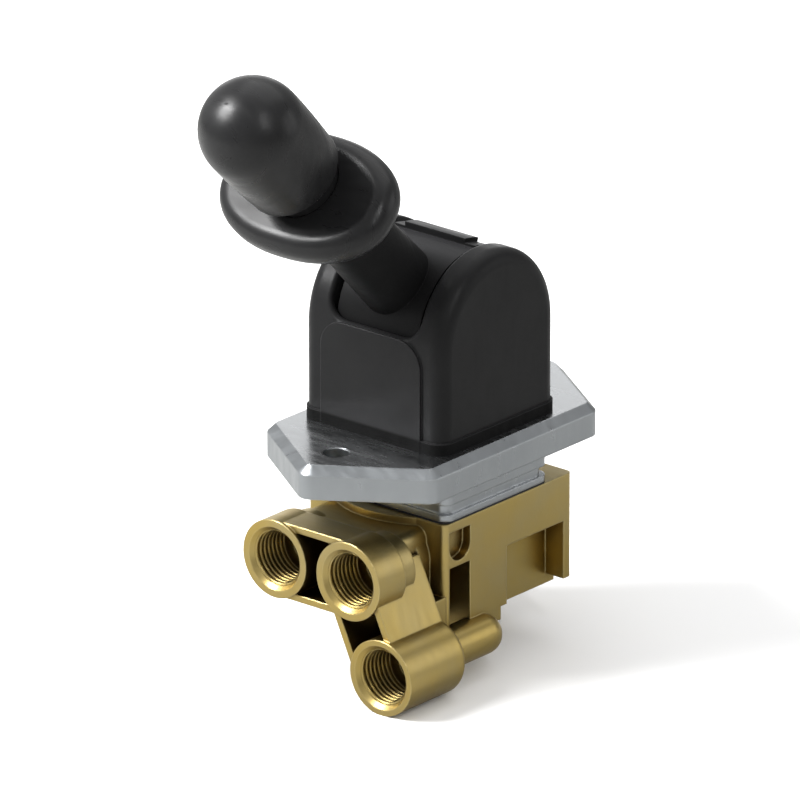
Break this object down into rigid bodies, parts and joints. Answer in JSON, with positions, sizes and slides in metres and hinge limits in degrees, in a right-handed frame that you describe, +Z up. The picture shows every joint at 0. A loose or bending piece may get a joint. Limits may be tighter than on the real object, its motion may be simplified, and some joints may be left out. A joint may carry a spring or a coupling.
{
  "type": "lever pilot pressure valve",
  "caption": "Hand pilot valve: leaning lever with lift collar in a hooded black cover, flat hexagonal flange, die-cast body with threaded ports.",
  "frame": {"origin": "centre of the two flange bolts on the flange's underside, the face that meets the panel", "axes": "+Z up out of the panel towards the lever; -Y the way the three ports face and the lever leans; X along the lever's pivot pin"},
  "size_m": [0.06, 0.1311, 0.1684],
  "materials": {
    "chromated_casting": "yellow-passivated die casting, satin",
    "flange_casting": "smooth satin casting",
    "black_cover": "fine-grained glass-filled nylon, satin",
    "black_lever": "smooth moulded nylon, satin",
    "steel_bright": "ground steel",
    "steel_plated": "zinc-plated steel",
    "spring_steel": "oiled spring wire",
    "bronze": "sintered bronze",
    "rubber_seal": "moulded nitrile rubber",
    "machined_aluminium": "turned"
  },
  "bodies": {
    "housing": {"valve_body": "chromated_casting", "mounting_flange": "flange_casting", "cover": "black_cover", "body_gasket": "rubber_seal", "pivot_pin": "steel_bright", "gate_plate_left": "steel_plated", "gate_plate_right": "steel_plated", "tappet_guide": "bronze", "valve_seat": "steel_bright", "bottom_cap": "machined_aluminium", "cap_ring": "rubber_seal", "retaining_ring": "steel_plated", "cover_screw_1": "steel_plated", "cover_screw_2": "steel_plated", "cover_screw_3": "steel_plated", "cover_screw_4": "steel_plated", "body_screw_1": "steel_plated", "body_screw_2": "steel_plated", "body_screw_3": "steel_plated", "body_screw_4": "steel_plated", "main_spring": "spring_steel", "valve_spring": "spring_steel"},
    "lever": {"lever_drum": "black_lever", "pivot_bush_left": "bronze", "pivot_bush_right": "bronze", "cam": "steel_bright", "cam_dowel": "steel_bright", "lever_tube": "steel_bright", "lever_grip": "black_lever", "collar_spring": "spring_steel"},
    "release": {"lift_collar": "black_lever", "collar_pin": "steel_bright", "lock_rod": "steel_bright", "latch_pin": "steel_bright"},
    "tappet": {"tappet": "steel_bright", "spring_cup": "steel_plated"},
    "piston": {"piston": "machined_aluminium", "piston_ring": "rubber_seal"},
    "poppet": {"poppet": "machined_aluminium"}
  },
  "joints": [
    {"name": "lever_tilt", "type": "hinge", "parent": "housing", "child": "lever", "pos_m": [0, 0, 0.0348], "axis": [1, 0, 0], "range_deg": [-70, 0], "deforming": ["main_spring", "valve_spring"]},
    {"name": "release_lift", "type": "slide", "parent": "lever", "child": "release", "axis": [0, -0.7071, 0.7071], "range_m": [0, 0.0042], "stiffness_N_per_m": 900, "springref_m": -0.004, "deforming": ["collar_spring"]},
    {"name": "tappet_slide", "type": "slide", "parent": "housing", "child": "tappet", "axis": [0, 0, 1], "range_m": [0, 0.005]},
    {"name": "piston_slide", "type": "slide", "parent": "housing", "child": "piston", "axis": [0, 0, 1], "range_m": [0, 0.0025]},
    {"name": "poppet_slide", "type": "slide", "parent": "housing", "child": "poppet", "axis": [0, 0, 1], "range_m": [0, 0.0014]}
  ],
  "couplings": [
    {"joint": "tappet_slide", "follows": "lever_tilt", "m_per_rad": -0.0040925},
    {"joint": "piston_slide", "follows": "lever_tilt", "m_per_rad": -0.0020463},
    {"joint": "poppet_slide", "follows": "lever_tilt", "m_per_rad": -0.0011459}
  ]
}
